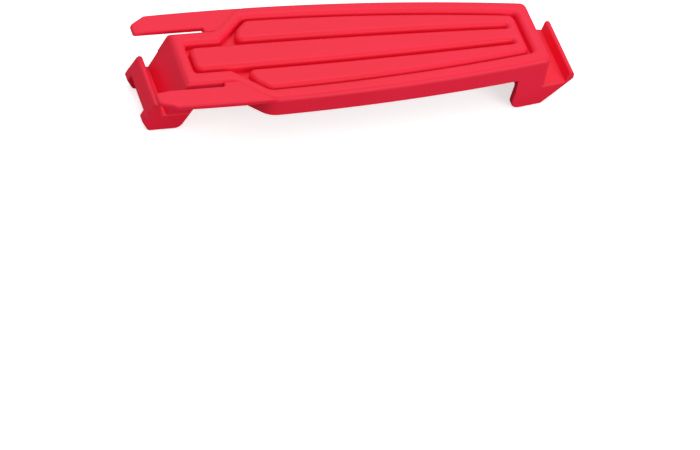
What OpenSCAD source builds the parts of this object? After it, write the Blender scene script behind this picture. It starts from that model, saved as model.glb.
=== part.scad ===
// One-piece moulded plastic hive tool: a ribbed tray handle that narrows to a neck,
// a narrow hook under the neck, a wide hook under the other end, and two flexing
// prongs beside the neck. Every wall, rail, rib and lip of the moulding is a solid
// of its own, and neighbours meet face to face.
// +X runs from the narrow hook to the wide hook, +Y is the rear side, and the tool
// rests on both hooks at Z = 0.

/* [Handle] */
// Height from the resting plane to the top of the rails
total_h = 25.8; // [20:0.2:34]
// Half width where the handle is widest
body_hw = 29.4; // [24:0.2:38]
// Radius of the two long bowed sides
side_r = 913; // [700:1:1400]
// Place along the handle where it is widest
arc_x = -56.4; // [-70:0.2:-40]
// Outer face of the end rail
end_x = 83.1; // [66:0.1:100]
// Height of the outer walls
rim_h = 9.4; // [7.5:0.1:12]
// Thickness of the outer walls
wall_t = 2.8; // [1.8:0.1:3.5]

/* [Rails] */
// Width of the side rails
side_rail_w = 7.0; // [6:0.1:8.5]
// Width of the end rail
end_rail_w = 6.3; // [4:0.1:8]
// Width of the shoulder rails
shoulder_rail_w = 5.9; // [4:0.1:7]
// Width of the neck rails
neck_rail_w = 7.5; // [5:0.1:8.5]
// Thickness of the skin over the hollow in each side rail
crown_t = 2.6; // [1.6:0.1:3.4]
// Thickness of the inner wall of each side rail
rail_web_t = 2.0; // [1.4:0.1:2.6]

/* [Deck and ribs] */
// Depth of the tray below the rails
recess_d = 4.2; // [2.8:0.1:5.2]
// Thickness of the deck
deck_t = 2.4; // [1.6:0.1:3.2]
// Step from the rails down to the top of the ribs
rib_drop = 0.3; // [0.1:0.1:1.2]
// Wall thickness of the cored ribs
rib_wall = 2.4; // [1.6:0.1:2.8]
// Gap between a rib and the rail beside it
rib_gap = 0.9; // [0.5:0.1:1.6]
// Gap between the ribs and the end rail
rib_end_gap = 1.6; // [1:0.1:5]
// Width of the bar that joins the ribs beside the end rail
rib_bar_w = 4.0; // [2:0.1:8]
// Half width of the centre rib where it is widest
centre_rib_hw = 7.1; // [5.6:0.1:7.8]
// Radius that the centre rib's two long sides follow
rib_r = 2650; // [1800:10:4000]
// Width of the groove between two ribs
groove_w = 1.7; // [1:0.1:3]
// Place where the side ribs begin, at their corner nearest to the neck
rib_nose_x = -51.1; // [-56:0.1:-44]
// Slant of the side ribs' neck ends, in degrees
rib_nose_slant = 21; // [0:1:40]

/* [Neck] */
// Half width of the neck
neck_hw = 16.2; // [13:0.1:18]
// Top outer edge of the bar that ends the neck
bar_x = -77.6; // [-90:0.1:-70]
// Width of that bar at the top
bar_w = 4.9; // [3.5:0.1:6]
// Place where the neck opens into the shoulders
shoulder_x = -58.0; // [-62:0.1:-52]

/* [Prongs] */
// Length of each prong from its root
prong_l = 30.2; // [24:0.2:38]
// Closed end of the slots beside the neck
slot_x = -62.3; // [-66:0.1:-60]
// Width of the slots beside the neck
slot_w = 2.1; // [1.5:0.1:5]
// Thickness of the prongs and of their roots
prong_t = 2.5; // [1.8:0.1:3.2]
// Step from the rails down to the top of the prongs
prong_drop = 0.4; // [0.2:0.1:1]
// Step from the bowed sides in to the prongs
prong_inset = 0.5; // [0.2:0.1:1]
// Running gap at the flexing root
flex_gap = 0.4; // [0.3:0.05:0.6]
// Length of the cut-off outer corner along each prong
tip_corner_l = 6.8; // [3:0.1:9]
// Width of the cut-off outer corner across each prong
tip_corner_w = 4.4; // [2:0.1:6]
// Length of the bevelled end of each prong
tip_bevel_l = 5.8; // [3:0.1:9]
// Thickness of each prong at its tip
tip_t = 1.1; // [0.6:0.1:1.6]

/* [Narrow hook] */
// Lean of the front face from upright, in degrees
face_lean = 23.2; // [15:0.2:28]
// Lean of the back wall from upright, in degrees
back_lean = 25.4; // [15:0.2:28]
// Foot of the back wall on the resting plane
narrow_back_x = -77.8; // [-80:0.1:-74]
// Height of the channel floor
narrow_floor_z = 8.5; // [7:0.1:10]
// Width of the channel at its floor
narrow_channel_w = 1.0; // [0.6:0.1:2]
// Thickness of the lip at its base
narrow_lip_base = 7.4; // [6:0.1:9]
// Thickness of the lip near its crest
narrow_lip_top = 2.9; // [2:0.1:3.6]
// Height of the lip above the channel floor
narrow_lip_h = 6.4; // [4.5:0.1:8]
// Reach of the lip's crest outwards from the channel
narrow_lip_reach = 2.0; // [1:0.1:3]
// Distance that the toe wall tucks back in at the resting plane
toe_tuck = 3.1; // [2:0.1:4.5]
// Width of each toe tab
tab_w = 4.9; // [3.5:0.1:9]
// Distance that each toe tab stands out from the toe wall
tab_reach = 1.3; // [0.8:0.1:3]
// Height of the ridge along each toe tab
tab_ridge_z = 5.2; // [3:0.1:7]
// Step from the neck's sides in to the lip's ends and the toe
hook_step = 0.8; // [0:0.1:1.5]

/* [Wide hook] */
// Edge of the two cheeks under the handle
wide_back_x = 68.1; // [60:0.1:72]
// Face of the back wall, set in between the cheeks
wide_wall_x = 75.4; // [70:0.1:78]
// Height of the channel floor
wide_floor_z = 10.3; // [9:0.1:12]
// Width of the channel floor
wide_channel_w = 9.6; // [7:0.1:14]
// Thickness of the lip at its base
wide_lip_base = 4.0; // [3.2:0.1:5]
// Height of the lip above the channel floor
wide_lip_h = 5.2; // [3.5:0.1:7]
// Distance that the toe wall tucks back in at the resting plane
wide_toe_tuck = 12.9; // [9:0.1:14]
// Radius of the heel edge of both hooks
heel_r = 4.0; // [2:0.1:5]

/* [Hidden] */
plastic = [0.86, 0.13, 0.17];
rib_plastic = [0.92, 0.22, 0.28];
prong_plastic = [0.80, 0.09, 0.13];

// Heights
rim_bottom = total_h - rim_h;
deck_top = total_h - recess_d;
deck_bottom = deck_top - deck_t;
rib_top = total_h - rib_drop;
prong_top = total_h - prong_drop;
// Anything longer than the tool, for half planes and cuts
far = 300;

// Handle plan
bar_in_x = bar_x + bar_w;
neck_in_hw = neck_hw - neck_rail_w;
// The shoulders run at 45 degrees, and their inner faces start at join_x
diagonal = sqrt(2);
join_x = shoulder_x + neck_in_hw - neck_hw + shoulder_rail_w * diagonal;
deck_end_x = end_x - end_rail_w;
rib_end_x = deck_end_x - rib_end_gap;

rib_bar_x = rib_end_x - rib_bar_w;
centre_rib_x = bar_in_x + rib_gap;
// The centre rib's long sides curve so little that a few straight lengths follow them
lane_steps = 6;
function lane_x(i) = centre_rib_x + (rib_bar_x - centre_rib_x) * i / lane_steps;
function lane_y(i) = centre_rib_hw - pow(lane_x(i) - arc_x, 2) / (2 * rib_r);

// Prongs
prong_y = neck_hw + slot_w;
prong_root_x = slot_x - flex_gap;
prong_tip_x = slot_x - prong_l;

// Narrow hook, as a profile in X and Z
face_slope = tan(face_lean);
back_slope = tan(back_lean);
face_w = wall_t / cos(face_lean);
back_w = wall_t / cos(back_lean);
function face_x(z) = bar_x - (total_h - z) * face_slope;
function back_x(z) = narrow_back_x + z * back_slope;
narrow_lip_x = face_x(narrow_floor_z) - narrow_channel_w;
toe_x = narrow_lip_x - narrow_lip_base;
toe_foot_x = toe_x + toe_tuck;
hook_hw = neck_hw - hook_step;
crest_r = narrow_lip_top / 2;
crest_x = narrow_lip_x - narrow_lip_reach - crest_r;
crest_z = narrow_floor_z + narrow_lip_h - crest_r;
// The lip's outer slope leaves its rounded crest at this angle
crest_end = 150;

// Wide hook, as a profile in X and Z
wide_lip_x = end_x + wide_channel_w;
wide_toe_x = wide_lip_x + wide_lip_base;
wide_slope_x = wide_toe_x - wide_lip_base / 4;
wide_foot_x = wide_slope_x - wide_toe_tuck;
toe_slope = wide_toe_tuck / wide_floor_z;
toe_wall_w = wall_t * sqrt(1 + toe_slope * toe_slope);

// Points on a quarter circle about a centre, from one angle to another
function arc(cx, cz, r, from, to, steps = 8) =
    [for (i = [0 : steps]) let (a = from + (to - from) * i / steps) [cx + r * cos(a), cz + r * sin(a)]];

// ---- plan shapes ----

// Everything between the two bowed sides, drawn in by an inset
module bowed_sides(inset = 0) {
    intersection() {
        translate([arc_x, body_hw - side_r])
            circle(r = side_r - inset, $fn = 1440);
        translate([arc_x, side_r - body_hw])
            circle(r = side_r - inset, $fn = 1440);
    }
}

module span(x0, x1, y0 = -far, y1 = far) {
    translate([x0, y0])
        square([x1 - x0, y1 - y0]);
}

// The spreading region to the right of both shoulders' outer faces
module past_shoulders() {
    polygon([
        [shoulder_x, neck_hw], [shoulder_x + far, neck_hw + far],
        [shoulder_x + far, -neck_hw - far], [shoulder_x, -neck_hw]
    ]);
}

// The spreading region inside the shoulders' inner faces, set back by a gap
module inside_shoulders(gap = 0) {
    shift = gap * diagonal;
    polygon([
        [join_x, neck_in_hw - shift], [join_x + far, neck_in_hw - shift + far],
        [join_x + far, -neck_in_hw + shift - far], [join_x, -neck_in_hw + shift]
    ]);
}

module side_rail_plan(from, to) {
    intersection() {
        difference() {
            bowed_sides(from);
            bowed_sides(to);
        }
        past_shoulders();
        span(shoulder_x, end_x, 0);
    }
}

module shoulder_plan(width) {
    inner_x = shoulder_x + (join_x - shoulder_x) * width / shoulder_rail_w;
    inner_y = neck_hw + (neck_in_hw - neck_hw) * width / shoulder_rail_w;
    intersection() {
        bowed_sides(side_rail_w);
        polygon([
            [shoulder_x, neck_hw], [inner_x, inner_y],
            [inner_x + far, inner_y + far], [shoulder_x + far, neck_hw + far]
        ]);
    }
}

module neck_rail_plan(width) {
    inner_x = shoulder_x + (join_x - shoulder_x) * width / neck_rail_w;
    polygon([
        [bar_in_x, neck_hw], [shoulder_x, neck_hw],
        [inner_x, neck_hw - width], [bar_in_x, neck_hw - width]
    ]);
}

// Between the centre rib's two long sides, moved outwards by a margin
module centre_lane(margin = 0) {
    polygon(concat(
        [for (i = [0 : lane_steps]) [lane_x(i), lane_y(i) + margin]],
        [for (i = [lane_steps : -1 : 0]) [lane_x(i), -lane_y(i) - margin]]
    ));
}

module centre_rib_plan(inset = 0) {
    intersection() {
        centre_lane(-inset);
        span(centre_rib_x + inset, rib_bar_x - inset);
    }
}

module side_rib_plan(inset = 0) {
    nose_shift = inset / cos(rib_nose_slant);
    nose_lean = far * tan(rib_nose_slant);
    nose_y = centre_rib_hw + groove_w;
    difference() {
        intersection() {
            bowed_sides(side_rail_w + rib_gap + inset);
            inside_shoulders(rib_gap + inset);
            translate([rib_nose_x + nose_shift, nose_y])
                polygon([[-nose_lean, -far], [nose_lean, far], [far, far], [far, -far]]);
            span(join_x, rib_bar_x - inset, 0);
        }
        centre_lane(groove_w + inset);
    }
}

module prong_plan() {
    intersection() {
        bowed_sides(prong_inset);
        polygon([
            [prong_root_x, prong_y], [prong_tip_x, prong_y],
            [prong_tip_x, body_hw - prong_inset - tip_corner_w],
            [prong_tip_x + tip_corner_l, body_hw - prong_inset],
            [prong_root_x, far]
        ]);
    }
}

module prong_root_plan() {
    difference() {
        intersection() {
            bowed_sides(prong_inset);
            span(slot_x, end_x, neck_hw);
        }
        past_shoulders();
    }
}

// ---- building helpers ----

module between(z0, z1) {
    translate([0, 0, z0])
        linear_extrude(z1 - z0)
            children();
}

// A profile in X and Z, carried from one Y to another
module across(y0, y1) {
    translate([0, y1, 0])
        rotate([90, 0, 0])
            linear_extrude(y1 - y0)
                children();
}

module front() {
    mirror([0, 1, 0])
        children();
}

// A wide-hook profile whose ends follow the bowed sides
module between_sides(inset) {
    intersection() {
        between(0, total_h)
            bowed_sides(inset);
        across(-body_hw, body_hw)
            children();
    }
}

// ---- handle ----

module side_rail() {
    color(plastic)
        difference() {
            union() {
                between(rim_bottom, total_h)
                    side_rail_plan(0, wall_t);
                between(deck_bottom, total_h)
                    side_rail_plan(wall_t, side_rail_w);
            }
            between(deck_bottom - 1, total_h - crown_t)
                intersection() {
                    side_rail_plan(wall_t, side_rail_w - rail_web_t);
                    span(join_x + body_hw - neck_in_hw, deck_end_x);
                }
        }
}

module rear_side_rail() {
    side_rail();
}

module front_side_rail() {
    front() side_rail();
}

module end_rail() {
    color(plastic)
        between(deck_bottom, total_h)
            intersection() {
                bowed_sides(side_rail_w);
                span(deck_end_x, end_x);
            }
}

module shoulder() {
    color(plastic) {
        between(deck_bottom, total_h)
            shoulder_plan(shoulder_rail_w);
        between(rim_bottom, deck_bottom)
            shoulder_plan(wall_t);
    }
}

module rear_shoulder() {
    shoulder();
}

module front_shoulder() {
    front() shoulder();
}

module deck() {
    color(plastic)
        between(deck_bottom, deck_top)
            difference() {
                intersection() {
                    bowed_sides(side_rail_w);
                    inside_shoulders();
                    span(join_x, deck_end_x);
                }
                centre_rib_plan(rib_wall);
                side_rib_plan(rib_wall);
                mirror([0, 1])
                    side_rib_plan(rib_wall);
            }
}

module neck_deck() {
    color(plastic)
        between(deck_bottom, deck_top)
            difference() {
                span(bar_in_x, join_x, -neck_in_hw, neck_in_hw);
                centre_rib_plan(rib_wall);
            }
}

module neck_rail() {
    color(plastic) {
        between(deck_bottom, total_h)
            neck_rail_plan(neck_rail_w);
        between(rim_bottom, deck_bottom)
            neck_rail_plan(wall_t);
    }
}

module neck_rear_rail() {
    neck_rail();
}

module neck_front_rail() {
    front() neck_rail();
}

module neck_end_bar() {
    color(plastic)
        across(-neck_hw, neck_hw)
            polygon([
                [bar_x, total_h], [bar_in_x, total_h],
                [bar_in_x, deck_bottom], [face_x(deck_bottom), deck_bottom]
            ]);
}

module side_rib() {
    color(rib_plastic)
        difference() {
            between(deck_top, rib_top)
                side_rib_plan();
            between(deck_top - 1, rib_top - rib_wall)
                side_rib_plan(rib_wall);
        }
}

module rear_rib() {
    side_rib();
}

module front_rib() {
    front() side_rib();
}

module centre_rib() {
    color(rib_plastic)
        difference() {
            between(deck_top, rib_top)
                centre_rib_plan();
            between(deck_top - 1, rib_top - rib_wall)
                centre_rib_plan(rib_wall);
        }
}

// Joins the three ribs across the wide end of the tray
module rib_end_bar() {
    color(rib_plastic)
        between(deck_top, rib_top)
            intersection() {
                bowed_sides(side_rail_w + rib_gap);
                span(rib_bar_x, rib_end_x);
            }
}

// ---- prongs ----

module prong_root() {
    color(plastic)
        between(prong_top - prong_t, prong_top)
            prong_root_plan();
}

module rear_prong_root() {
    prong_root();
}

module front_prong_root() {
    front() prong_root();
}

// A flat blade whose end is bevelled from above to a thin tip
module prong() {
    color(prong_plastic)
        intersection() {
            between(prong_top - prong_t, prong_top)
                prong_plan();
            across(prong_y, body_hw)
                polygon([
                    [prong_tip_x, prong_top - prong_t], [prong_root_x, prong_top - prong_t],
                    [prong_root_x, prong_top], [prong_tip_x + tip_bevel_l, prong_top],
                    [prong_tip_x, prong_top - prong_t + tip_t]
                ]);
        }
}

module rear_prong() {
    prong();
}

module front_prong() {
    front() prong();
}

// ---- narrow hook ----

narrow_in_hw = neck_hw - wall_t;

module narrow_hook_face() {
    color(plastic)
        across(-narrow_in_hw, narrow_in_hw)
            polygon([
                [face_x(deck_bottom), deck_bottom], [face_x(deck_bottom) + face_w, deck_bottom],
                [face_x(narrow_floor_z) + face_w, narrow_floor_z], [face_x(narrow_floor_z), narrow_floor_z]
            ]);
}

module narrow_hook_back_wall() {
    color(plastic)
        across(-narrow_in_hw, narrow_in_hw)
            intersection() {
                polygon([
                    [back_x(0), 0], [back_x(0) - back_w, 0],
                    [back_x(deck_bottom) - back_w, deck_bottom], [back_x(deck_bottom), deck_bottom]
                ]);
                narrow_heel();
            }
}

// The rounded heel edge, as the region left of it and above it
module narrow_heel() {
    turn = 90 - back_lean;
    reach = heel_r * tan(turn / 2);
    polygon(concat(
        [[-far, total_h], [-far, 0]],
        arc(back_x(0) - reach, heel_r, heel_r, -90, -back_lean),
        [[back_x(total_h), total_h]]
    ));
}

module narrow_hook_channel_floor() {
    color(plastic)
        across(-narrow_in_hw, narrow_in_hw)
            polygon([
                [face_x(narrow_floor_z) + face_w, narrow_floor_z],
                [face_x(narrow_floor_z) + face_w, narrow_floor_z - deck_t],
                [narrow_lip_x - wall_t, narrow_floor_z - deck_t],
                [narrow_lip_x - wall_t, narrow_floor_z]
            ]);
}

// A wedge with a rounded crest, cored from below
module narrow_hook_lip() {
    core_top = crest_z + crest_r - wall_t;
    color(plastic)
        difference() {
            across(-hook_hw, hook_hw)
                polygon(concat(
                    [[toe_x, narrow_floor_z], [narrow_lip_x, narrow_floor_z]],
                    arc(crest_x, crest_z, crest_r, 20, crest_end)
                ));
            across(-narrow_in_hw, narrow_in_hw)
                polygon([
                    [toe_x + wall_t, narrow_floor_z - 1], [narrow_lip_x - wall_t, narrow_floor_z - 1],
                    [crest_x + crest_r / 4, core_top], [crest_x - crest_r / 4, core_top]
                ]);
        }
}

module narrow_hook_toe_wall() {
    color(plastic)
        across(-narrow_in_hw, narrow_in_hw)
            polygon([
                [toe_x, narrow_floor_z], [toe_foot_x, 0],
                [toe_foot_x + wall_t, 0], [toe_x + wall_t, narrow_floor_z]
            ]);
}

// Side of the hook above its channel floor, up to the bar and the neck
module narrow_cheek() {
    color(plastic)
        across(narrow_in_hw, neck_hw)
            polygon([
                [face_x(deck_bottom), deck_bottom], [bar_in_x, deck_bottom],
                [bar_in_x, rim_bottom], [back_x(rim_bottom), rim_bottom],
                [back_x(narrow_floor_z), narrow_floor_z], [face_x(narrow_floor_z), narrow_floor_z]
            ]);
}

module narrow_hook_rear_cheek() {
    narrow_cheek();
}

module narrow_hook_front_cheek() {
    front() narrow_cheek();
}

// Side of the hook below its channel floor, down to the resting plane
module narrow_foot() {
    color(plastic)
        across(narrow_in_hw, hook_hw)
            intersection() {
                polygon([
                    [toe_x, narrow_floor_z], [back_x(narrow_floor_z), narrow_floor_z],
                    [back_x(0), 0], [toe_foot_x, 0]
                ]);
                narrow_heel();
            }
}

module narrow_hook_rear_foot() {
    narrow_foot();
}

module narrow_hook_front_foot() {
    front() narrow_foot();
}

// A low ridge that stands out from the toe wall at its end
module toe_tab() {
    ridge_x = toe_x - tab_reach;
    color(prong_plastic)
        across(hook_hw - tab_w, hook_hw)
            polygon([
                [toe_x, narrow_floor_z], [ridge_x, tab_ridge_z],
                [ridge_x + tab_reach / 4, tab_ridge_z * 0.77],
                [toe_foot_x - tab_reach, 0], [toe_foot_x, 0]
            ]);
}

module rear_toe_tab() {
    toe_tab();
}

module front_toe_tab() {
    front() toe_tab();
}

// ---- wide hook ----

module wide_hook_face() {
    color(plastic)
        between(wide_floor_z, deck_bottom)
            intersection() {
                bowed_sides(wall_t);
                span(end_x - wall_t, end_x);
            }
}

module wide_hook_floor() {
    floor_end_x = wide_slope_x - toe_wall_w;
    color(plastic)
        between_sides(wall_t)
            polygon([
                [end_x - wall_t, wide_floor_z], [end_x - wall_t, wide_floor_z - deck_t],
                [floor_end_x - deck_t * toe_slope, wide_floor_z - deck_t], [floor_end_x, wide_floor_z]
            ]);
}

module wide_hook_lip() {
    round_r = wide_lip_base * 0.3;
    round_z = wide_floor_z + wide_lip_h - round_r;
    color(plastic)
        between_sides(0)
            polygon(concat(
                [[wide_lip_x, wide_floor_z], [wide_slope_x, wide_floor_z],
                 [wide_toe_x, wide_floor_z + (wide_toe_x - wide_slope_x) / toe_slope],
                 [wide_toe_x, round_z - round_r]],
                arc(wide_lip_x + wide_lip_base / 2, round_z, round_r, 30, 165)
            ));
}

module wide_hook_toe_wall() {
    color(plastic)
        between_sides(wall_t)
            polygon([
                [wide_foot_x, 0], [wide_slope_x, wide_floor_z],
                [wide_slope_x - toe_wall_w, wide_floor_z], [wide_foot_x - toe_wall_w, 0]
            ]);
}

// The rounded heel edge, as the region right of it and above it
module wide_heel() {
    polygon(concat(
        [[far, 0], [far, total_h], [wide_back_x, total_h]],
        arc(wide_back_x + heel_r, heel_r, heel_r, 180, 270)
    ));
}

module wide_hook_back_wall() {
    color(plastic)
        between_sides(wall_t)
            span(wide_wall_x, wide_wall_x + wall_t, 0, deck_bottom);
}

module wide_side() {
    color(plastic)
        intersection() {
            between(0, total_h)
                difference() {
                    bowed_sides(0);
                    bowed_sides(wall_t);
                }
            across(0, body_hw)
                children();
        }
}

// Side of the hook under the handle
module wide_cheek() {
    wide_side()
        intersection() {
            span(wide_back_x, end_x, 0, rim_bottom);
            wide_heel();
            polygon([
                [wide_back_x, 0], [wide_foot_x, 0], [wide_foot_x + far * toe_slope, far], [wide_back_x, far]
            ]);
        }
}

module wide_hook_rear_cheek() {
    wide_cheek();
}

module wide_hook_front_cheek() {
    front() wide_cheek();
}

// Side of the hook under the channel
module wide_foot() {
    wide_side()
        intersection() {
            span(end_x, wide_toe_x, 0, wide_floor_z);
            polygon([
                [wide_back_x, 0], [wide_foot_x, 0], [wide_foot_x + far * toe_slope, far], [wide_back_x, far]
            ]);
        }
}

module wide_hook_rear_foot() {
    wide_foot();
}

module wide_hook_front_foot() {
    front() wide_foot();
}

rear_side_rail();
front_side_rail();
end_rail();
rear_shoulder();
front_shoulder();
deck();
neck_deck();
neck_rear_rail();
neck_front_rail();
neck_end_bar();
rear_rib();
centre_rib();
front_rib();
rib_end_bar();
rear_prong_root();
front_prong_root();
rear_prong();
front_prong();
narrow_hook_face();
narrow_hook_back_wall();
narrow_hook_channel_floor();
narrow_hook_lip();
narrow_hook_toe_wall();
narrow_hook_rear_cheek();
narrow_hook_front_cheek();
narrow_hook_rear_foot();
narrow_hook_front_foot();
rear_toe_tab();
front_toe_tab();
wide_hook_face();
wide_hook_floor();
wide_hook_lip();
wide_hook_toe_wall();
wide_hook_back_wall();
wide_hook_rear_cheek();
wide_hook_front_cheek();
wide_hook_rear_foot();
wide_hook_front_foot();
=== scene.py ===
import math

import bpy
from mathutils import Matrix, Vector


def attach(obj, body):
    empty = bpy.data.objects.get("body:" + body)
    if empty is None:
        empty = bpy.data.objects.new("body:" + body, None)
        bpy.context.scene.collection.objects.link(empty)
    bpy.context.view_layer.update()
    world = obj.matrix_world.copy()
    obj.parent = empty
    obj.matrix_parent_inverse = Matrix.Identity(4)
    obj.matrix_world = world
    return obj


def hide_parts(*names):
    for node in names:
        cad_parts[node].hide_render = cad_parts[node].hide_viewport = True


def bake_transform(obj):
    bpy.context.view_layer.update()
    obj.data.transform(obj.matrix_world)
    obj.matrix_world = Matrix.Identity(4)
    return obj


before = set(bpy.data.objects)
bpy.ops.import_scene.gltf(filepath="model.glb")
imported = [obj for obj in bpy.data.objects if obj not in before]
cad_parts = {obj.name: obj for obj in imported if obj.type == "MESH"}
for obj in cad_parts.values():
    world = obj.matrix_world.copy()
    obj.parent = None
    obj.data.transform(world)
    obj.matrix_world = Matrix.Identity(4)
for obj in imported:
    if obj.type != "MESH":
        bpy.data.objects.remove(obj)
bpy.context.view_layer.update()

# A one-piece moulded hive tool: the tray handle with its two hooks is one skin, and each
# prong is a blade with extra cuts across it near its root. Sizes are in millimetres until a mesh is
# made.
MM = 0.001

# Handle
TOP = 25.8
RIM_BOTTOM = 16.4
DECK_TOP = 21.6
DECK_BOTTOM = 19.2
RIB_TOP = 25.5
WALL = 2.8
HALF_WIDTH = 29.4
SIDE_RADIUS = 913.0
WIDEST_X = -56.4
END_X = 83.1
TRAY_END_X = 76.8
RAIL_WIDTH = 7.0
RAIL_WEB = 2.0
RAIL_CROWN = 2.6
RAIL_CORE_X = -36.0
SHOULDER_WIDTH = 5.9
SHOULDER_ROUND = 9.0
END_ROUND = 3.2
EDGE_ROUND = 2.4
RECESS_ROUND = 0.7

# Neck
NECK_HALF = 16.2
NECK_TAPER = 1.0
NECK_IN_HALF = 8.7
NECK_WALL_HALF = NECK_HALF - WALL
BAR_X = -77.6
BAR_IN_X = -72.7
SHOULDER_X = -58.0
ELBOW_ROUND = 3.0
NECK_BLOCK_LOW = 5.0
NECK_BLOCK_HIGH = 22.0
NECK_EDGE_ROUND = 0.5

# Ribs
RIB_GAP = 0.9
RIB_WALL = 2.4
RIB_NOSE_X = -51.1
RIB_NOSE_SLANT = 21.0
RIB_CORNER_ROUND = 3.2
RIB_NOSE_ROUND = 3.0
RIB_ELBOW_ROUND = 4.0
RIB_SHOULDER_ROUND = 3.6
RIB_CORE_X = -41.0
RIB_START_X = BAR_IN_X + RIB_GAP
RIB_BAR_X = 70.4
RIB_END_X = 75.3
CENTRE_RIB_HALF = 7.1
CENTRE_RIB_RADIUS = 2650.0
GROOVE = 1.7
GROOVE_END_ROUND = 0.8

# Prongs
PRONG_TOP = 25.4
PRONG_THICK = 2.5
PRONG_INSET = 0.5
PRONG_Y = 18.3
PRONG_TIP_X = -92.5
SLOT_X = -62.3
TIP_THICK = 1.5
TIP_BEVEL = 5.8
TIP_CORNER_WIDTH = 4.4
TIP_CORNER_LENGTH = 6.8
PRONG_SINK = 2.0
PRONG_EDGE_ROUND = 1.0
PRONG_UNDER_ROUND = 0.4
BEND_CUTS = (0.2, 1.2, 2.2, 3.2, 4.2, 5.2, 6.2)

# Narrow hook
FACE_TILT = 23.2
BACK_TILT = 25.4
FACE_SLOPE = math.tan(math.radians(FACE_TILT))
BACK_SLOPE = math.tan(math.radians(BACK_TILT))
FACE_WALL = WALL / math.cos(math.radians(FACE_TILT))
BACK_WALL = WALL / math.cos(math.radians(BACK_TILT))
NARROW_FLOOR = 8.5
NARROW_BACK_X = -77.8
FLOOR_THICK = 2.4
HOOK_HALF = 15.4
NARROW_CHANNEL = 1.0
LIP_BASE = 7.4
LIP_LEAN = 2.0
LIP_HEIGHT = 6.4
TOE_TUCK = 3.1
TOE_ROUND = 2.0
LIP_IN_X = BAR_X - (TOP - NARROW_FLOOR) * FACE_SLOPE - NARROW_CHANNEL
TOE_X = LIP_IN_X - LIP_BASE
TOE_FOOT_X = TOE_X + TOE_TUCK
CREST_RADIUS = 1.45
CREST = (LIP_IN_X - LIP_LEAN - CREST_RADIUS, NARROW_FLOOR + LIP_HEIGHT - CREST_RADIUS)
HOOK_EDGE_ROUND = 0.8
TAB_REACH = 1.3
TAB_RIDGE_Z = 5.2
TAB_WIDTH = 4.9
TAB_RIDGE_ROUND = 0.7
TAB_EDGE_ROUND = 0.6

# Wide hook
WIDE_BACK_X = 68.1
WIDE_WALL_X = 75.4
WIDE_FLOOR = 10.3
WIDE_LIP_X = 92.7
WIDE_TOE_X = 96.7
WIDE_SLOPE_X = 95.7
WIDE_FOOT_X = 82.8
HEEL_RADIUS = 4.0
WIDE_LIP_LEAN = 2.0
WIDE_LIP_HEIGHT = 5.2
WIDE_LIP_ROUND = 1.2
WIDE_TOE_STEP = 0.8

# Blocks that share a face are kept this far off it, so that they join cleanly
SHY = 0.02
# Blocks that are joined reach this far into each other, and cuts start this far outside
LAP = 0.6
PAST = 1.0
DIAGONAL = math.sqrt(2)

# Finish: grain, colour drift and a painted highlight on the edges
GRAIN_SIZE = 2200.0
DRIFT_SIZE = 22.0
COARSE_SIZE = 420.0
HIGHLIGHT_EDGE_RADIUS = 0.9
GRAIN_DEPTH = 0.06
BODY_RED = (0.88, 0.006, 0.036, 1)
DRIFT_RED = (0.92, 0.009, 0.048, 1)
# A lighter, pinker red painted on the edges as a highlight, where light catches the rounded edges
HIGHLIGHT_RED = (0.94, 0.02, 0.06, 1)

# Stage, in metres
CAMERA_PLACE = (-0.54216524, -1.2031651, 1.15261901)
CAMERA_TURN = -24.8654
CAMERA_TILT = 42.9740
CAMERA_ROLL = 12.2203
CAMERA_LENS = 211.06
SKY_STRENGTH = 0.62
LAMPS = (("overhead", (0.1, 0.5, 1.5), 1.4, 9.0), ("fill", (0.8, -1.3, 0.6), 1.0, 10.0))


def face_x(z):
    return BAR_X - (TOP - z) * FACE_SLOPE


def back_x(z):
    return NARROW_BACK_X + z * BACK_SLOPE


def neck_y(z):
    """Half width of the neck, which tapers a little towards the hook."""
    return NECK_HALF - NECK_TAPER * (TOP - z) / (TOP - NARROW_FLOOR)


def side_y(x, inset=0.0):
    """Half width between the bowed sides, drawn in by an inset."""
    reach = SIDE_RADIUS - inset
    return HALF_WIDTH - SIDE_RADIUS + math.sqrt(reach ** 2 - (x - WIDEST_X) ** 2)


def lane_y(x, margin=0.0):
    """Half width of the centre rib, moved outwards by a margin."""
    reach = CENTRE_RIB_RADIUS + margin
    return CENTRE_RIB_HALF - CENTRE_RIB_RADIUS + math.sqrt(reach ** 2 - (x - WIDEST_X) ** 2)


def shoulder_line(depth):
    """The shoulder's 45 degree line as y = x + this, at a depth inside its outer face."""
    return NECK_HALF - SHOULDER_X - depth * DIAGONAL


def meets_side(line, inset):
    """Where the line y = x + line meets the bowed side."""
    x = -45.0
    for _ in range(30):
        x = side_y(x, inset) - line
    return x


def steps(start, end, step=8.0):
    """Even places from start to end, both left out."""
    count = max(2, round(abs(end - start) / step))
    return [start + (end - start) * i / count for i in range(1, count)]


def both_halves(half):
    """Closes an outline whose rear half is given, from the neck to the wide end."""
    return half + [(c[0], -c[1]) + tuple(c[2:]) for c in reversed(half)]


def rounded(corners, turn=12.0):
    """An outline whose corners are turned at the radius that follows each."""
    outline = []
    for i, corner in enumerate(corners):
        here = Vector(corner[:2])
        radius = corner[2] if len(corner) > 2 else 0
        if not radius:
            outline.append(tuple(here))
            continue
        before = (Vector(corners[i - 1][:2]) - here).normalized()
        after = (Vector(corners[(i + 1) % len(corners)][:2]) - here).normalized()
        half = before.angle(after) / 2
        centre = here + (before + after).normalized() * radius / math.sin(half)
        start = here + before * radius / math.tan(half) - centre
        end = here + after * radius / math.tan(half) - centre
        first = math.atan2(start.y, start.x)
        sweep = (math.atan2(end.y, end.x) - first + math.pi) % (2 * math.pi) - math.pi
        count = max(2, math.ceil(abs(math.degrees(sweep)) / turn))
        for k in range(count + 1):
            a = first + sweep * k / count
            outline.append((centre.x + radius * math.cos(a), centre.y + radius * math.sin(a)))
    return outline


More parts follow.
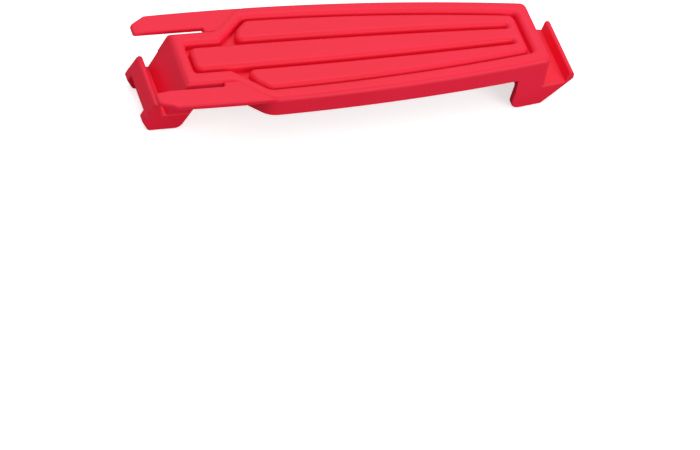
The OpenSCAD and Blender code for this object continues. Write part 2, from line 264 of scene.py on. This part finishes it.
def arc(centre, radius, first, last, count=8):
    angles = [math.radians(first + (last - first) * i / count) for i in range(count + 1)]
    u, v = centre
    return [(u + radius * math.cos(a), v + radius * math.sin(a)) for a in angles]


# ---- modelling helpers ----

def pick(part):
    bpy.ops.object.select_all(action="DESELECT")
    part.select_set(True)
    bpy.context.view_layer.objects.active = part


def open_all(part):
    """Edit mode with everything selected."""
    pick(part)
    bpy.ops.object.mode_set(mode="EDIT")
    bpy.ops.mesh.select_all(action="SELECT")


def close():
    bpy.ops.object.mode_set(mode="OBJECT")


def bar(name, outline, low, high, across=False):
    """A straight bar with that outline, upright, or lying along Y if it is across."""
    bpy.ops.object.select_all(action="DESELECT")
    bpy.ops.mesh.primitive_circle_add(vertices=len(outline), radius=0.01, fill_type="NGON")
    part = bpy.context.object
    part.name = part.data.name = name
    for vertex, (u, v) in zip(part.data.vertices, outline):
        vertex.co = Vector((u, low, v) if across else (u, v, low)) * MM
    open_all(part)
    move = Vector((0, high - low, 0) if across else (0, 0, high - low)) * MM
    bpy.ops.mesh.extrude_region_move(TRANSFORM_OT_translate={"value": move})
    bpy.ops.mesh.select_all(action="SELECT")
    bpy.ops.mesh.normals_make_consistent(inside=False)
    close()
    return part


def slice_at(part, places):
    """Adds a cut across the part at each place along X."""
    open_all(part)
    for x in places:
        bpy.ops.mesh.select_all(action="SELECT")
        bpy.ops.mesh.bisect(plane_co=(x * MM, 0, 0), plane_no=(1, 0, 0))
    close()


def bow_ends(part, inset):
    """Moves the ends of a bar that lies across onto the bowed sides."""
    xs = [v.co.x / MM for v in part.data.vertices]
    slice_at(part, steps(min(xs), max(xs), 5.0))
    for vertex in part.data.vertices:
        vertex.co.y = math.copysign(side_y(vertex.co.x / MM, inset) * MM, vertex.co.y)


def faces_up(at, out):
    return out.z > 0.9


def faces_sideways(at, out):
    return abs(out.y) > 0.9


def soften(part, on, width, segments=4):
    """Rounds the outline of the faces that on(centre, normal) picks."""
    uses = {}
    for face in part.data.polygons:
        if on(face.center / MM, face.normal):
            for key in face.edge_keys:
                uses[key] = uses.get(key, 0) + 1
    rim = {key for key, count in uses.items() if count == 1}
    for face in part.data.polygons:
        face.select = False
    for vertex in part.data.vertices:
        vertex.select = False
    for edge in part.data.edges:
        edge.select = edge.key in rim
        if edge.select:
            for index in edge.vertices:
                part.data.vertices[index].select = True
    bpy.context.tool_settings.mesh_select_mode = (False, True, False)
    pick(part)
    bpy.ops.object.mode_set(mode="EDIT")
    bpy.ops.mesh.bevel(
        offset=width * MM, segments=segments, profile=0.5, affect="EDGES",
        clamp_overlap=False, loop_slide=False,
    )
    close()


def combine(part, tools, how):
    for tool in tools:
        modifier = part.modifiers.new("combine", "BOOLEAN")
        modifier.operation, modifier.object, modifier.solver = how, tool, "MANIFOLD"
        pick(part)
        bpy.ops.object.modifier_apply(modifier=modifier.name)
        bpy.data.objects.remove(tool)
    tidy(part)


def tidy(part):
    """Merges faces that lie in one plane."""
    open_all(part)
    bpy.ops.mesh.remove_doubles(threshold=0.002 * MM)
    bpy.ops.mesh.select_all(action="SELECT")
    bpy.ops.mesh.dissolve_limited(angle_limit=math.radians(0.05))
    close()


def smooth(part, angle=38.0):
    pick(part)
    bpy.ops.object.shade_smooth_by_angle(angle=math.radians(angle))
    modifier = part.modifiers.new("normals", "WEIGHTED_NORMAL")
    modifier.keep_sharp = True
    bpy.ops.object.modifier_apply(modifier=modifier.name)


# ---- the tray handle and the neck ----

def tray():
    line = shoulder_line(0)
    corner = meets_side(line, 0)
    outer = both_halves(
        [(BAR_X, NECK_HALF), (SHOULDER_X, NECK_HALF, ELBOW_ROUND)]
        + [(corner, side_y(corner), SHOULDER_ROUND)]
        + [(x, side_y(x)) for x in steps(corner, END_X)]
        + [(END_X, side_y(END_X), END_ROUND)]
    )
    block = bar("moulded_body", rounded(outer), RIM_BOTTOM, TOP)
    for vertex in block.data.vertices:
        x, y, z = vertex.co / MM
        if z < DECK_TOP and x < SHOULDER_X and abs(y) > NECK_HALF - 0.1:
            vertex.co.y = math.copysign(neck_y(RIM_BOTTOM) * MM, y)
            if x < BAR_X + 0.1:
                vertex.co.x = face_x(RIM_BOTTOM) * MM
    line = shoulder_line(SHOULDER_WIDTH)
    corner = meets_side(line, RAIL_WIDTH)
    inner = both_halves(
        [(BAR_IN_X, NECK_IN_HALF, 1.6), (NECK_IN_HALF - line, NECK_IN_HALF, ELBOW_ROUND)]
        + [(corner, side_y(corner, RAIL_WIDTH), 4.0)]
        + [(x, side_y(x, RAIL_WIDTH)) for x in steps(corner, TRAY_END_X)]
        + [(TRAY_END_X, side_y(TRAY_END_X, RAIL_WIDTH), 2.0)]
    )
    combine(block, [bar("recess", rounded(inner), DECK_TOP, TOP + 3)], "DIFFERENCE")
    for level, width, segments in ((TOP, EDGE_ROUND, 6), (DECK_TOP, RECESS_ROUND, 3)):
        def at_level(at, out):
            return faces_up(at, out) and abs(at.z - level) < 0.05

        soften(block, at_level, width, segments)
    return block


def comb():
    """The three ribs and the bar that joins them."""
    line = shoulder_line(SHOULDER_WIDTH + RIB_GAP)
    inset = RAIL_WIDTH + RIB_GAP
    slope = math.tan(math.radians(RIB_NOSE_SLANT))
    nose_y = lane_y(RIB_NOSE_X, GROOVE)
    elbow_y = (line + RIB_NOSE_X - nose_y * slope) / (1 - slope)
    corner = meets_side(line, inset)
    half = [(RIB_START_X, lane_y(RIB_START_X), RIB_CORNER_ROUND)]
    half += [(x, lane_y(x)) for x in steps(RIB_START_X, RIB_BAR_X)]
    half += [(RIB_BAR_X, lane_y(RIB_BAR_X, gap), GROOVE_END_ROUND) for gap in (0.0, GROOVE)]
    half += [(x, lane_y(x, GROOVE)) for x in steps(RIB_BAR_X, RIB_NOSE_X)]
    half += [
        (RIB_NOSE_X, nose_y, RIB_NOSE_ROUND), (elbow_y - line, elbow_y, RIB_ELBOW_ROUND),
        (corner, side_y(corner, inset), RIB_SHOULDER_ROUND),
    ]
    half += [(x, side_y(x, inset)) for x in steps(corner, RIB_END_X)]
    half += [(RIB_END_X, side_y(RIB_END_X, inset), RIB_CORNER_ROUND)]
    part = bar("ribs", rounded(both_halves(half)), DECK_TOP - LAP, RIB_TOP)
    soften(part, faces_up, EDGE_ROUND, 6)
    return part


# ---- hooks ----

def narrow_hook():
    low, high = NECK_BLOCK_LOW, NECK_BLOCK_HIGH
    upper = [(face_x(high) + SHY, high), (face_x(low) + SHY, low)]
    upper += [(back_x(low) - SHY, low), (back_x(high) - SHY, high)]
    neck = bar("neck_under", upper, SHY - NECK_HALF, NECK_HALF - SHY, across=True)
    for vertex in neck.data.vertices:
        vertex.co.y = math.copysign(neck_y(vertex.co.z / MM) - SHY, vertex.co.y) * MM
    soften(neck, faces_sideways, NECK_EDGE_ROUND, 2)
    heel = HEEL_RADIUS * math.tan(math.radians(90 - BACK_TILT) / 2)
    foot = [(TOE_X, NARROW_FLOOR), (TOE_FOOT_X, 0, TOE_ROUND), (TOE_FOOT_X + 8, 0)]
    lower = rounded(foot)[:-1]
    lower += arc((back_x(0) - heel, HEEL_RADIUS), HEEL_RADIUS, -90, -BACK_TILT)
    lower += [(back_x(NARROW_FLOOR), NARROW_FLOOR), (LIP_IN_X, NARROW_FLOOR)]
    lower += arc(CREST, CREST_RADIUS, 20, 150)
    toe = bar("toe", lower, -HOOK_HALF, HOOK_HALF, across=True)
    soften(toe, faces_sideways, HOOK_EDGE_ROUND, 3)
    tabs = []
    for side in (1, -1):
        ends = sorted((side * HOOK_HALF, side * (HOOK_HALF - TAB_WIDTH)))
        outline = rounded([
            (TOE_X + 1.2, NARROW_FLOOR + 0.2), (TOE_X - 0.1, NARROW_FLOOR - 0.1),
            (TOE_X - TAB_REACH, TAB_RIDGE_Z, TAB_RIDGE_ROUND),
            (TOE_FOOT_X - TAB_REACH, SHY, TOE_ROUND), (TOE_FOOT_X + 3, SHY), (TOE_FOOT_X + 1, 3),
        ])
        tab = bar("tab", outline, ends[0] + SHY, ends[1] - SHY, across=True)
        soften(tab, faces_sideways, TAB_EDGE_ROUND, 3)
        tabs.append(tab)
    return [neck, toe] + tabs


def wide_hook():
    end = [(x, side_y(x, SHY)) for x in (WIDE_BACK_X + 0.7, 75.0)]
    end += [(END_X - SHY, side_y(END_X, SHY), END_ROUND)]
    wall = bar("end_wall", rounded(both_halves(end)), WIDE_FLOOR - LAP, RIM_BOTTOM + 2)
    lip_top = (WIDE_LIP_X + WIDE_LIP_LEAN, WIDE_FLOOR + WIDE_LIP_HEIGHT - WIDE_LIP_ROUND)
    lower = arc((WIDE_BACK_X + HEEL_RADIUS, HEEL_RADIUS), HEEL_RADIUS, 180, 270)
    lower += [(WIDE_FOOT_X, 0), (WIDE_SLOPE_X, WIDE_FLOOR)]
    lower += [(WIDE_TOE_X, WIDE_FLOOR + WIDE_TOE_STEP), (WIDE_TOE_X, lip_top[1] - WIDE_LIP_ROUND)]
    lower += arc(lip_top, WIDE_LIP_ROUND, 30, 165)
    lower += [(WIDE_LIP_X, WIDE_FLOOR), (WIDE_BACK_X + LAP, WIDE_FLOOR)]
    hook = bar("wide_hook", lower, -1, 1, across=True)
    bow_ends(hook, 0)
    soften(hook, faces_sideways, HOOK_EDGE_ROUND, 3)
    return [wall, hook]


# ---- hollows under the moulding ----

def hollows():
    line = shoulder_line(WALL)
    corner = meets_side(line, WALL)
    right = WIDE_BACK_X + 1
    under = both_halves(
        [(back_x(DECK_BOTTOM), NECK_WALL_HALF), (NECK_WALL_HALF - line, NECK_WALL_HALF)]
        + [(x, side_y(x, WALL)) for x in [corner] + steps(corner, right) + [right]]
    )
    cuts = [bar("under", under, RIM_BOTTOM - 3, DECK_BOTTOM)]
    inner_face = face_x(NARROW_FLOOR) + FACE_WALL
    core_top = CREST[1] + CREST_RADIUS - WALL
    foot = TOE_FOOT_X + WALL
    cuts.append(bar("narrow_hollow", [
        (foot, -PAST), (foot, 0), (TOE_X + WALL, NARROW_FLOOR),
        (CREST[0] - 0.4, core_top), (CREST[0] + 0.4, core_top),
        (LIP_IN_X - WALL, NARROW_FLOOR), (LIP_IN_X - WALL, NARROW_FLOOR - FLOOR_THICK),
        (inner_face, NARROW_FLOOR - FLOOR_THICK), (inner_face, NARROW_FLOOR),
        (face_x(DECK_BOTTOM) + FACE_WALL, DECK_BOTTOM),
        (back_x(DECK_BOTTOM) - BACK_WALL, DECK_BOTTOM),
        (back_x(0) - BACK_WALL, 0), (back_x(0) - BACK_WALL, -PAST),
    ], -NECK_WALL_HALF, NECK_WALL_HALF, across=True))
    toe_slope = (WIDE_SLOPE_X - WIDE_FOOT_X) / WIDE_FLOOR
    toe_wall = WALL * math.hypot(1, toe_slope)
    floor_low = WIDE_FLOOR - FLOOR_THICK
    wide = bar("wide_hollow", [
        (WIDE_WALL_X + WALL, -PAST), (WIDE_FOOT_X - toe_wall - toe_slope, -PAST),
        (WIDE_FOOT_X - toe_wall + floor_low * toe_slope, floor_low), (END_X - WALL, floor_low),
        (END_X - WALL, DECK_BOTTOM), (WIDE_WALL_X + WALL, DECK_BOTTOM),
    ], -1, 1, across=True)
    between = bar("between_cheeks", [
        (WIDE_BACK_X - 2, -PAST), (WIDE_WALL_X, -PAST),
        (WIDE_WALL_X, DECK_BOTTOM), (WIDE_BACK_X - 2, DECK_BOTTOM),
    ], -1, 1, across=True)
    for cut in (wide, between):
        bow_ends(cut, WALL)
        cuts.append(cut)
    low = DECK_BOTTOM - PAST
    start, end = RIB_START_X + RIB_WALL, RIB_BAR_X - RIB_WALL
    core = [(x, lane_y(x, -RIB_WALL)) for x in [start] + steps(start, end) + [end]]
    cuts.append(bar("centre_core", both_halves(core), low, RIB_TOP - RIB_WALL))
    rail_ends = (RAIL_CORE_X, TRAY_END_X)
    rib_ends = (RIB_CORE_X, end)
    for side in (1, -1):
        for name, ends, outside, inside, top in (
            ("rail_core", rail_ends, lambda x: side_y(x, WALL),
             lambda x: side_y(x, RAIL_WIDTH - RAIL_WEB), TOP - RAIL_CROWN),
            ("rib_core", rib_ends, lambda x: side_y(x, RAIL_WIDTH + RIB_GAP + RIB_WALL),
             lambda x: lane_y(x, GROOVE + RIB_WALL), RIB_TOP - RIB_WALL),
        ):
            places = [ends[0]] + steps(*ends) + [ends[1]]
            outline = [(x, side * outside(x)) for x in places]
            outline += [(x, side * inside(x)) for x in reversed(places)]
            cuts.append(bar(name, outline, low, top))
    return cuts


# ---- prongs ----

def prong(name, side):
    """A flat blade with a bevelled tip, and the root that it grows from."""
    line = shoulder_line(PRONG_SINK)
    corner = meets_side(line, PRONG_INSET)
    root_y = NECK_HALF - 0.5
    tip_y = HALF_WIDTH - PRONG_INSET - TIP_CORNER_WIDTH
    tip_side_x = PRONG_TIP_X + TIP_CORNER_LENGTH
    outline = [
        (root_y - line, root_y), (SLOT_X, root_y), (SLOT_X, PRONG_Y, 0.9),
        (PRONG_TIP_X, PRONG_Y, 1.2), (PRONG_TIP_X, tip_y, 2.6),
        (tip_side_x, side_y(tip_side_x, PRONG_INSET), 4.0),
    ]
    outline += [(x, side_y(x, PRONG_INSET)) for x in steps(tip_side_x, corner)]
    outline += [(corner, side_y(corner, PRONG_INSET))]
    outline = [(x, side * y) for x, y in rounded(outline)]
    blade = bar(name, outline, PRONG_TOP - PRONG_THICK, PRONG_TOP)
    open_all(blade)
    fall = Vector((PRONG_THICK - TIP_THICK, 0, -TIP_BEVEL)).normalized()
    bpy.ops.mesh.bisect(
        plane_co=((PRONG_TIP_X + TIP_BEVEL) * MM, 0, PRONG_TOP * MM), plane_no=-fall,
        clear_outer=True, use_fill=True,
    )
    bpy.ops.mesh.select_all(action="SELECT")
    bpy.ops.mesh.normals_make_consistent(inside=False)
    close()
    soften(blade, faces_up, PRONG_EDGE_ROUND, 4)
    soften(blade, lambda at, out: out.z < -0.9, PRONG_UNDER_ROUND, 2)
    slice_at(blade, [SLOT_X - d for d in BEND_CUTS])
    return blade


# ---- finish: grain, colour drift and a painted edge highlight ----

def grain_and_highlight_group():
    """Fine moulded grain, slow colour drift and a painted highlight along the edges, as masks and a
    height.
    """
    group = bpy.data.node_groups.new("Moulded grain", "ShaderNodeTree")
    sockets = group.interface
    for name, value in (("Grain Size", GRAIN_SIZE), ("Drift Size", DRIFT_SIZE)):
        socket = sockets.new_socket(name, in_out="INPUT", socket_type="NodeSocketFloat")
        socket.default_value = value
    for name in ("Drift", "Edge Highlight", "Height"):
        sockets.new_socket(name, in_out="OUTPUT", socket_type="NodeSocketFloat")
    nodes, links = group.nodes, group.links
    inside, outside = nodes.new("NodeGroupInput"), nodes.new("NodeGroupOutput")
    place = nodes.new("ShaderNodeTexCoord")

    def noise(size, detail, roughness):
        node = nodes.new("ShaderNodeTexNoise")
        links.new(place.outputs["Object"], node.inputs["Vector"])
        if isinstance(size, float):
            node.inputs["Scale"].default_value = size
        else:
            links.new(size, node.inputs["Scale"])
        node.inputs["Detail"].default_value = detail
        node.inputs["Roughness"].default_value = roughness
        return node.outputs["Fac"]

    def sums(kind, a, b):
        node = nodes.new("ShaderNodeMath")
        node.operation = kind
        for socket, value in zip(node.inputs, (a, b)):
            if isinstance(value, float):
                socket.default_value = value
            else:
                links.new(value, socket)
        return node.outputs[0]

    def spread(value, low, high):
        node = nodes.new("ShaderNodeMapRange")
        node.interpolation_type = "SMOOTHSTEP"
        links.new(value, node.inputs["Value"])
        node.inputs["From Min"].default_value = low
        node.inputs["From Max"].default_value = high
        return node.outputs["Result"]

    drift = spread(noise(inside.outputs["Drift Size"], 3.0, 0.5), 0.3, 0.7)
    fine = noise(inside.outputs["Grain Size"], 2.0, 0.5)
    coarse = noise(COARSE_SIZE, 3.0, 0.55)
    # Painted highlight: edges are marked where the bevel normal turns away from the face, and the
    # mark is broken up by coarse noise
    bevel = nodes.new("ShaderNodeBevel")
    bevel.samples = 4
    bevel.inputs["Radius"].default_value = HIGHLIGHT_EDGE_RADIUS * MM
    true_face = nodes.new("ShaderNodeNewGeometry")
    match = nodes.new("ShaderNodeVectorMath")
    match.operation = "DOT_PRODUCT"
    links.new(bevel.outputs["Normal"], match.inputs[0])
    links.new(true_face.outputs["Normal"], match.inputs[1])
    edge = spread(sums("SUBTRACT", 1.0, match.outputs["Value"]), 0.01, 0.12)
    edge_highlight = sums("MULTIPLY", edge, spread(coarse, 0.45, 0.62))
    height = sums("ADD", sums("MULTIPLY", fine, 0.6), sums("MULTIPLY", coarse, 0.4))
    for value, name in ((drift, "Drift"), (edge_highlight, "Edge Highlight"), (height, "Height")):
        links.new(value, outside.inputs[name])
    return group


def red_plastic():
    material = bpy.data.materials.new("Red moulded plastic")
    material.use_nodes = True
    nodes, links = material.node_tree.nodes, material.node_tree.links
    shader = nodes["Principled BSDF"]
    shader.inputs["Specular IOR Level"].default_value = 0.36
    grain = nodes.new("ShaderNodeGroup")
    grain.node_tree = grain_and_highlight_group()
    grain.inputs["Grain Size"].default_value = GRAIN_SIZE
    grain.inputs["Drift Size"].default_value = DRIFT_SIZE

    def blend_colour(mask, first, second):
        mix = nodes.new("ShaderNodeMix")
        mix.data_type = "RGBA"
        links.new(mask, mix.inputs["Factor"])
        for name, value in (("A", first), ("B", second)):
            socket = [s for s in mix.inputs if s.name == name and s.type == "RGBA"][0]
            if isinstance(value, tuple):
                socket.default_value = value
            else:
                links.new(value, socket)
        return [s for s in mix.outputs if s.type == "RGBA"][0]

    body = blend_colour(grain.outputs["Drift"], BODY_RED, DRIFT_RED)
    # The edges get the lighter red as a painted highlight
    colour = blend_colour(grain.outputs["Edge Highlight"], body, HIGHLIGHT_RED)
    links.new(colour, shader.inputs["Base Color"])
    gloss = nodes.new("ShaderNodeMapRange")
    links.new(grain.outputs["Drift"], gloss.inputs["Value"])
    gloss.inputs["To Min"].default_value = 0.46
    gloss.inputs["To Max"].default_value = 0.54
    links.new(gloss.outputs["Result"], shader.inputs["Roughness"])
    bump = nodes.new("ShaderNodeBump")
    bump.inputs["Strength"].default_value = 0.25
    bump.inputs["Distance"].default_value = GRAIN_DEPTH * MM
    links.new(grain.outputs["Height"], bump.inputs["Height"])
    links.new(bump.outputs["Normal"], shader.inputs["Normal"])
    return material


def finish_piece(part, material):
    part.data.materials.clear()
    part.data.materials.append(material)


# ---- stage ----

def camera():
    data = bpy.data.cameras.new("camera")
    eye = bpy.data.objects.new("camera", data)
    bpy.context.scene.collection.objects.link(eye)
    turn, tilt, roll = (math.radians(v) for v in (CAMERA_TURN, CAMERA_TILT, CAMERA_ROLL))
    right = Vector((math.cos(turn), math.sin(turn), 0))
    level = math.cos(tilt)
    back = Vector((math.sin(turn) * level, -math.cos(turn) * level, math.sin(tilt)))
    up = back.cross(right)
    across = math.cos(roll) * right + math.sin(roll) * up
    above = -math.sin(roll) * right + math.cos(roll) * up
    place = Matrix((across, above, back)).transposed().to_4x4()
    place.translation = Vector(CAMERA_PLACE)
    eye.matrix_world = place
    data.sensor_width = 36
    data.lens = CAMERA_LENS
    data.clip_start, data.clip_end = 0.1, 20
    bpy.context.scene.camera = eye


def studio():
    bpy.ops.object.select_all(action="DESELECT")
    bpy.ops.mesh.primitive_plane_add(size=8, location=(0, 0, -0.0002))
    floor = bpy.context.object
    floor.name = "floor"
    paper = bpy.data.materials.new("White paper")
    paper.use_nodes = True
    nodes, links = paper.node_tree.nodes, paper.node_tree.links
    sheet = nodes["Principled BSDF"]
    sheet.inputs["Roughness"].default_value = 0.9
    sheet.inputs["Specular IOR Level"].default_value = 0.0
    sheet.inputs["Emission Color"].default_value = (1, 1, 1, 1)
    # The paper looks bright but throws back little light, so that the tool's walls keep their depth
    ray = nodes.new("ShaderNodeLightPath")
    for socket, seen, thrown in (("Base Color", 0.9, 0.26), ("Emission Strength", 0.62, 0.0)):
        level = nodes.new("ShaderNodeMapRange")
        links.new(ray.outputs["Is Camera Ray"], level.inputs["Value"])
        level.inputs["To Min"].default_value, level.inputs["To Max"].default_value = thrown, seen
        links.new(level.outputs["Result"], sheet.inputs[socket])
    floor.data.materials.append(paper)
    world = bpy.data.worlds.new("studio")
    bpy.context.scene.world = world
    world.use_nodes = True
    sky = world.node_tree.nodes["Background"]
    sky.inputs["Color"].default_value = (1, 1, 1, 1)
    sky.inputs["Strength"].default_value = SKY_STRENGTH
    for name, place, size, power in LAMPS:
        data = bpy.data.lights.new(name, "AREA")
        data.size, data.energy = size, power
        lamp = bpy.data.objects.new(name, data)
        bpy.context.scene.collection.objects.link(lamp)
        aim = (-Vector(place)).to_track_quat("-Z", "Y").to_matrix().to_4x4()
        lamp.matrix_world = Matrix.Translation(place) @ aim
    bpy.context.scene.view_settings.view_transform = "Standard"


camera()
studio()
plastic = red_plastic()

body = tray()
combine(body, [comb()] + narrow_hook() + wide_hook(), "UNION")
combine(body, hollows(), "DIFFERENCE")
smooth(body)
finish_piece(body, plastic)
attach(body, "handle")
prong_nodes = {side: (side + "_prong", side + "_prong_root") for side in ("rear", "front")}
apart = prong_nodes["rear"] + prong_nodes["front"]
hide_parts(*[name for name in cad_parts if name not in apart])

for side_name, side in (("rear", 1), ("front", -1)):
    blade = prong(side_name + "_prong_blade", side)
    smooth(blade)
    finish_piece(blade, plastic)
    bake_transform(blade)
    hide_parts(*prong_nodes[side_name])
